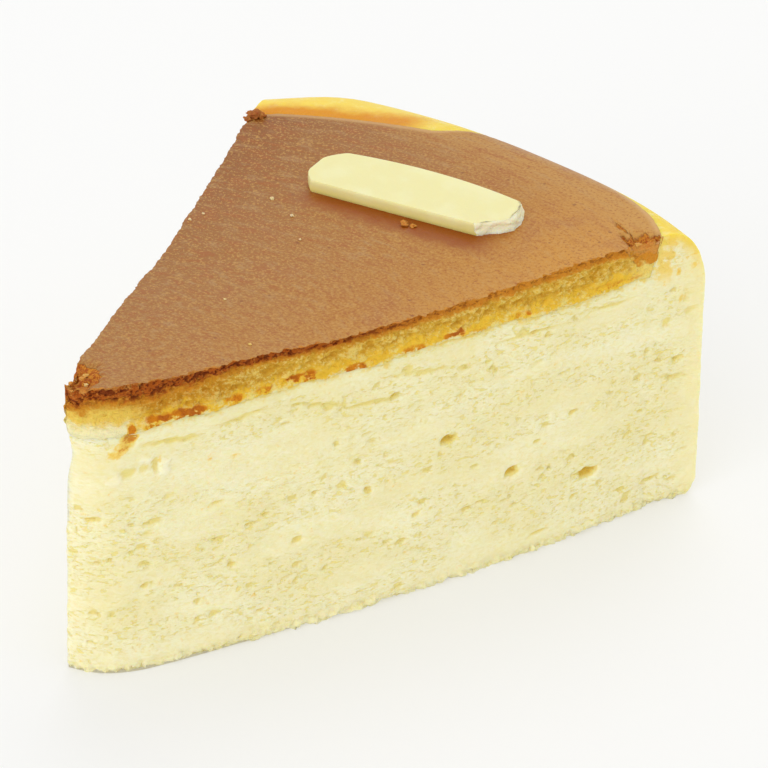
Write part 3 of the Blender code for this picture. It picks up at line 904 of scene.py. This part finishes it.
# Painted sheen: pinkish grey along the low streaks, weaker towards the right.
sheet = glaze.blend(glaze.step(streaks, 0.49, 0.33) * faded * 0.5, sheet, SKIN_PAINTED_SHEEN)
sheet = glaze.blend(glaze.step(mottle, 0.46, 0.30) * 0.35, sheet, SKIN_RED)
sheet = glaze.blend(glaze.step(speckle, 0.50, 0.64) * 0.75, sheet, SKIN_TAN_AND_HIGHLIGHT)
sheet = glaze.blend(glaze.step(speckle, 0.49, 0.33) * 0.8, sheet, SKIN_RED)
sheet = glaze.blend(freckles * 0.6, sheet, SKIN_DARK)
# Painted shadow of the plaque.
sheet = glaze.blend(glaze.kept("shade") * 0.95, sheet, SKIN_PAINTED_SHADOW)
# A painted highlight along the skin's outer edge.
hem = glaze.kept("hem") + (speckle - 0.5) * 0.8
sheet = glaze.blend(glaze.step(hem, 1.0, 0.2) * 0.6, sheet, SKIN_EDGE_HIGHLIGHT)
bare = glaze.step(glaze.kept("bare") + (speckle - 0.5) * 0.7, 0.3, 0.6)
crumb_tone = glaze.blend(glaze.step(speckle, 0.62, 0.4), TORN_ORANGE, TORN_RED)
sheet = glaze.blend(bare, sheet, crumb_tone)
relief = glaze.bump(streaks, 0.22, 0.6)
relief = glaze.bump(speckle, 0.05, 0.8, relief)
relief = glaze.bump(speckle * bare, 0.5, 0.8, relief)
layer.data.materials.append(
    glaze.join(
        Base_Color=sheet,
        Roughness=0.36 + 0.2 * mottle + 0.4 * bare - 0.1 * glaze.kept("shade"),
        Normal=relief,
    )
)
on_top = course > 0.999
for face in layer.data.polygons:
    face.material_index = int(all(on_top[corner] for corner in face.vertices))
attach(layer, "root")
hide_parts("sponge_layer")


# The plaque is a bare bar of white chocolate, cast thin, with a bowed back edge and cut corners.
# It was broken off at its right end, where the pale rough inside shows.
PLAQUE_CELLS = (110, 28, 10)
PLAQUE_THICK = 1.75
PLAQUE_FRONT = -3.65
PLAQUE_BACK = 4.9
PLAQUE_WEDGE = 0.5
PLAQUE_ARC = 1.4
PLAQUE_TURN = math.radians(6.6)
PLAQUE_PLACE = (3.9, 72.1)
PLAQUE_LIFT = 0.12
PLAQUE_SOFT_EDGE = 0.14
PLAQUE_SMOOTH = 35
PLAQUE_BREAK = 0.55
# Where each end is, and how much is cut off its front and back corners.
LEFT_END = (-16.2, 1.9, 2.5)
RIGHT_END = (15.6, 3.8, 1.0)

plaque = block_of_cells("white_chocolate_plaque", *PLAQUE_CELLS)
across, depth, course = cell_places(plaque)
depth = 2.0 * depth - 1.0
share = 0.5 * (across + 1.0)
left_at, left_front, left_back = LEFT_END
left_at = left_at + left_front * np.clip((-depth - 0.4) / 0.6, 0.0, 1.0) ** 1.5
left_at = left_at + left_back * np.clip((depth - 0.3) / 0.7, 0.0, 1.0) ** 1.5
right_at, right_front, right_back = RIGHT_END
right_at = right_at - right_front * np.clip((-depth - 0.05) / 0.95, 0.0, 1.0) ** 1.3
right_at = right_at - right_back * np.clip((depth - 0.45) / 0.55, 0.0, 1.0) ** 2
long = left_at + share * (right_at - left_at)
front_edge = PLAQUE_FRONT + PLAQUE_WEDGE * across
back_edge = PLAQUE_BACK + PLAQUE_ARC * (1.0 - across**2)
wide = front_edge + 0.5 * (depth + 1.0) * (back_edge - front_edge)
level = 2.0 * course - 1.0
rounding = PLAQUE_SOFT_EDGE * level**4
long = long - rounding * np.sign(across) * np.abs(across) ** 90
wide = wide - rounding * np.sign(depth) * np.abs(depth) ** 26
up = (course - 0.5) * PLAQUE_THICK
points = np.column_stack([long, wide, 1.3 * up])
chips = rough(points, 1.5, SEED + 7) - 0.9 * course + 0.5 * rough(points, 0.6, SEED + 15)
break_share = smooth(0.955, 1.0, across)
long = long + PLAQUE_BREAK * break_share * chips
turn_cos = math.cos(PLAQUE_TURN)
turn_sin = math.sin(PLAQUE_TURN)
x = PLAQUE_PLACE[0] + long * turn_cos - wide * turn_sin
y = PLAQUE_PLACE[1] + long * turn_sin + wide * turn_cos
bed = top_height(np.hypot(x, y), np.arctan2(x, y))
move_to(plaque, x, y, bed + 0.5 * PLAQUE_THICK + up + PLAQUE_LIFT * course)
smooth_shading(plaque, PLAQUE_SMOOTH)
note_on(plaque, "broken", smooth(0.985, 1.0, across))
# The lower strip of the plaque's sides, where painted shade goes.
note_on(plaque, "foot", (1.0 - course) * np.maximum(np.abs(depth), np.abs(across)) ** 60)

CHOCOLATE = (0.79, 0.735, 0.355)
CHOCOLATE_PALE = (0.825, 0.80, 0.47)
CHOCOLATE_GRAIN_AND_SHADE = (0.78, 0.69, 0.15)
BROKEN_PALE = (0.90, 0.88, 0.66)

chocolate = Finish(
    "white_chocolate",
    IOR=1.45,
    Subsurface_Weight=0.4,
    Subsurface_Radius=(1.0, 0.8, 0.3),
    Subsurface_Scale=0.0012,
)
spot = chocolate.place()
bloom = chocolate.cloud(spot, 4.0, 3.0)
grain = chocolate.cloud(spot, 0.35, 2.0)
broken = chocolate.step(chocolate.kept("broken"), 0.3, 0.8)
foot = chocolate.step(chocolate.kept("foot"), 0.1, 1.0)
tone = chocolate.blend(chocolate.step(bloom, 0.4, 0.7) * 0.5, CHOCOLATE, CHOCOLATE_PALE)
tone = chocolate.blend(chocolate.step(grain, 0.62, 0.8) * 0.2, tone, CHOCOLATE_GRAIN_AND_SHADE)
# The plaque's lower sides are painted darker and yellower: painted shade. The grain above uses the
# same colour.
tone = chocolate.blend(foot * 0.7, tone, CHOCOLATE_GRAIN_AND_SHADE)
tone = chocolate.blend(broken * 0.85, tone, BROKEN_PALE)
relief = chocolate.bump(bloom, 0.05, 0.5)
relief = chocolate.bump(grain * (0.15 + broken), 0.14, 0.8, relief)
plaque.data.materials.append(
    chocolate.join(Base_Color=tone, Roughness=0.36 + 0.1 * bloom + 0.35 * broken, Normal=relief)
)
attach(plaque, "root")
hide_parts("chocolate_plaque")


# Loose crumbs lie where the knife dropped them: specks on the skin, and lumps at the two corners.
# Each is one small lump with its own uneven form, and all are joined into one piece.
# Place in plan, size across, and how brown, from 0 for ivory to 1 for crust.
CRUMBS = (
    (-12.9, 61.7, 0.48, 0.12),
    (-7.7, 59.7, 0.5, 0.1),
    (-18.1, 50.3, 0.4, 0.1),
    (-17.7, 52.7, 0.35, 0.1),
    (6.2, 66.9, 1.0, 0.75),
    (7.4, 67.4, 0.7, 0.7),
    (5.6, 67.6, 0.5, 0.6),
    (-2.7, 55.3, 0.35, 0.1),
    (0.0, 36.3, 0.3, 0.2),
    (10.5, 28.9, 0.35, 0.3),
    (-29.6, 77.6, 1.7, 0.95),
    (-28.7, 78.3, 1.3, 0.9),
    (-29.7, 76.6, 0.9, 0.95),
    (-0.6, 8.7, 0.8, 0.6),
    (0.8, 7.9, 0.5, 0.25),
    (-0.9, 9.8, 0.6, 0.5),
    (34.5, 82.2, 0.7, 0.55),
    (35.6, 83.4, 0.6, 0.7),
)
CRUMB_FORM = (1.15, 0.95, 0.7)
CRUMB_STOPS = (
    (0.0, (0.80, 0.66, 0.42)),
    (0.35, (0.78, 0.52, 0.14)),
    (0.65, (0.58, 0.24, 0.03)),
    (1.0, (0.31, 0.085, 0.012)),
)

lumps = []
for number, (crumb_x, crumb_y, wide, brown) in enumerate(CRUMBS):
    angle = math.atan2(crumb_x, crumb_y)
    ground = float(top_height(np.array([math.hypot(crumb_x, crumb_y)]), np.array([angle]))[0])
    if math.hypot(crumb_x - TIP_CHIP[0], crumb_y - TIP_CHIP[1]) < TIP_CHIP[2]:
        ground = ground - 0.8 * TIP_CHIP[3]
    if math.hypot(crumb_x - CORNER_TEAR[0], crumb_y - CORNER_TEAR[1]) < CORNER_TEAR[2]:
        ground = ground - 0.6 * CORNER_TEAR[3]
    bpy.ops.object.select_all(action="DESELECT")
    bpy.ops.mesh.primitive_ico_sphere_add(subdivisions=4, radius=0.5 * wide * MM)
    lump = bpy.context.active_object
    corners = np.array([vertex.co for vertex in lump.data.vertices]) / MM
    bumps = 0.7 * rough(corners, 0.5 * wide, number)
    bumps = bumps + 0.35 * rough(corners, 0.22 * wide, number + 50)
    corners = corners * (1.0 + bumps)[:, None] * np.array(CRUMB_FORM)
    x, y, z = corners.T
    move_to(lump, x + crumb_x, y + crumb_y, z + ground + 0.22 * wide)
    note_on(lump, "brown", np.full(len(corners), brown))
    lumps.append(lump)
bpy.ops.object.select_all(action="DESELECT")
for lump in lumps:
    lump.select_set(True)
bpy.context.view_layer.objects.active = lumps[0]
bpy.ops.object.join()
crumbs = bpy.context.active_object
crumbs.name = "loose_crumbs"
smooth_shading(crumbs, CRUMB_SMOOTH)

loose_crumbs = Finish("loose_crumb", IOR=1.4, Subsurface_Weight=0.2, Subsurface_Scale=0.001)
spot = loose_crumbs.place()
fine = loose_crumbs.cloud(spot, 0.5, 3.0)
tone = loose_crumbs.ramp(loose_crumbs.kept("brown") + (fine - 0.5) * 0.5, CRUMB_STOPS)
crumbs.data.materials.append(
    loose_crumbs.join(
        Base_Color=tone, Roughness=0.65 + 0.2 * fine, Normal=loose_crumbs.bump(fine, 0.2, 0.8)
    )
)
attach(crumbs, "root")


# The table is a plain pale sheet, lit through a little so that its shadows stay faint. The light
# is a bright even studio with a soft lamp high at the back and one in front of the point.
TABLE_HALF = 6.0
TABLE_WHITE = (0.55, 0.55, 0.545)
TABLE_SHADE = (0.5, 0.5, 0.49)
TABLE_GLOW = 0.345
GLOW_WHITE = (1.0, 1.0, 0.99, 1.0)
ROOM_LIGHT = 0.86
BACK_LAMP = 0.5
FRONT_LAMP = 0.8

bpy.ops.object.select_all(action="DESELECT")
bpy.ops.mesh.primitive_plane_add(size=2.0 * TABLE_HALF)
table = bpy.context.active_object
table.name = "table"
paper = Finish(
    "pale_table", Roughness=0.9, Emission_Color=GLOW_WHITE, Emission_Strength=TABLE_GLOW
)
paper_tone = paper.blend(paper.cloud(paper.place(), 60.0) * 0.02, TABLE_WHITE, TABLE_SHADE)
table.data.materials.append(paper.join(Base_Color=paper_tone))

room = bpy.data.worlds.new("studio")
room.use_nodes = True
room.node_tree.nodes["Background"].inputs["Color"].default_value = (1.0, 1.0, 1.0, 1.0)
room.node_tree.nodes["Background"].inputs["Strength"].default_value = ROOM_LIGHT
bpy.context.scene.world = room


def soft_lamp(name, power, spread, towards):
    """A far lamp that shines along a direction, with a wide soft disc."""
    lamp = bpy.data.lights.new(name, "SUN")
    lamp.energy = power
    lamp.angle = math.radians(spread)
    holder = bpy.data.objects.new(name, lamp)
    holder.rotation_euler = Vector(towards).to_track_quat("-Z", "Y").to_euler()
    bpy.context.scene.collection.objects.link(holder)


soft_lamp("back_lamp", BACK_LAMP, 40.0, (0.25, -0.55, -0.8))
soft_lamp("front_lamp", FRONT_LAMP, 60.0, (-0.1, 0.9, -0.5))

# The camera looks down at the right cut face from nearly six slice lengths away.
CAMERA_PLACE = (298.82, -310.04, 311.38)
CAMERA_TURN = math.radians(-38.15)
CAMERA_DIP = math.radians(31.62)
FOCAL_PIXELS = 4000.0
PICTURE_PIXELS = 768.0
SENSOR_WIDE = 36.0

view = bpy.data.cameras.new("camera")
view.sensor_width = SENSOR_WIDE
view.lens = FOCAL_PIXELS / PICTURE_PIXELS * SENSOR_WIDE
camera = bpy.data.objects.new("camera", view)
camera.location = (
    (CAMERA_PLACE[0] + SLICE_MIDDLE[0]) * MM,
    (CAMERA_PLACE[1] + SLICE_MIDDLE[1]) * MM,
    CAMERA_PLACE[2] * MM,
)
gaze = Vector(
    (
        math.sin(CAMERA_TURN) * math.cos(CAMERA_DIP),
        math.cos(CAMERA_TURN) * math.cos(CAMERA_DIP),
        -math.sin(CAMERA_DIP),
    )
)
camera.rotation_euler = gaze.to_track_quat("-Z", "Y").to_euler()
bpy.context.scene.collection.objects.link(camera)
bpy.context.scene.camera = camera
bpy.context.scene.view_settings.view_transform = "Standard"
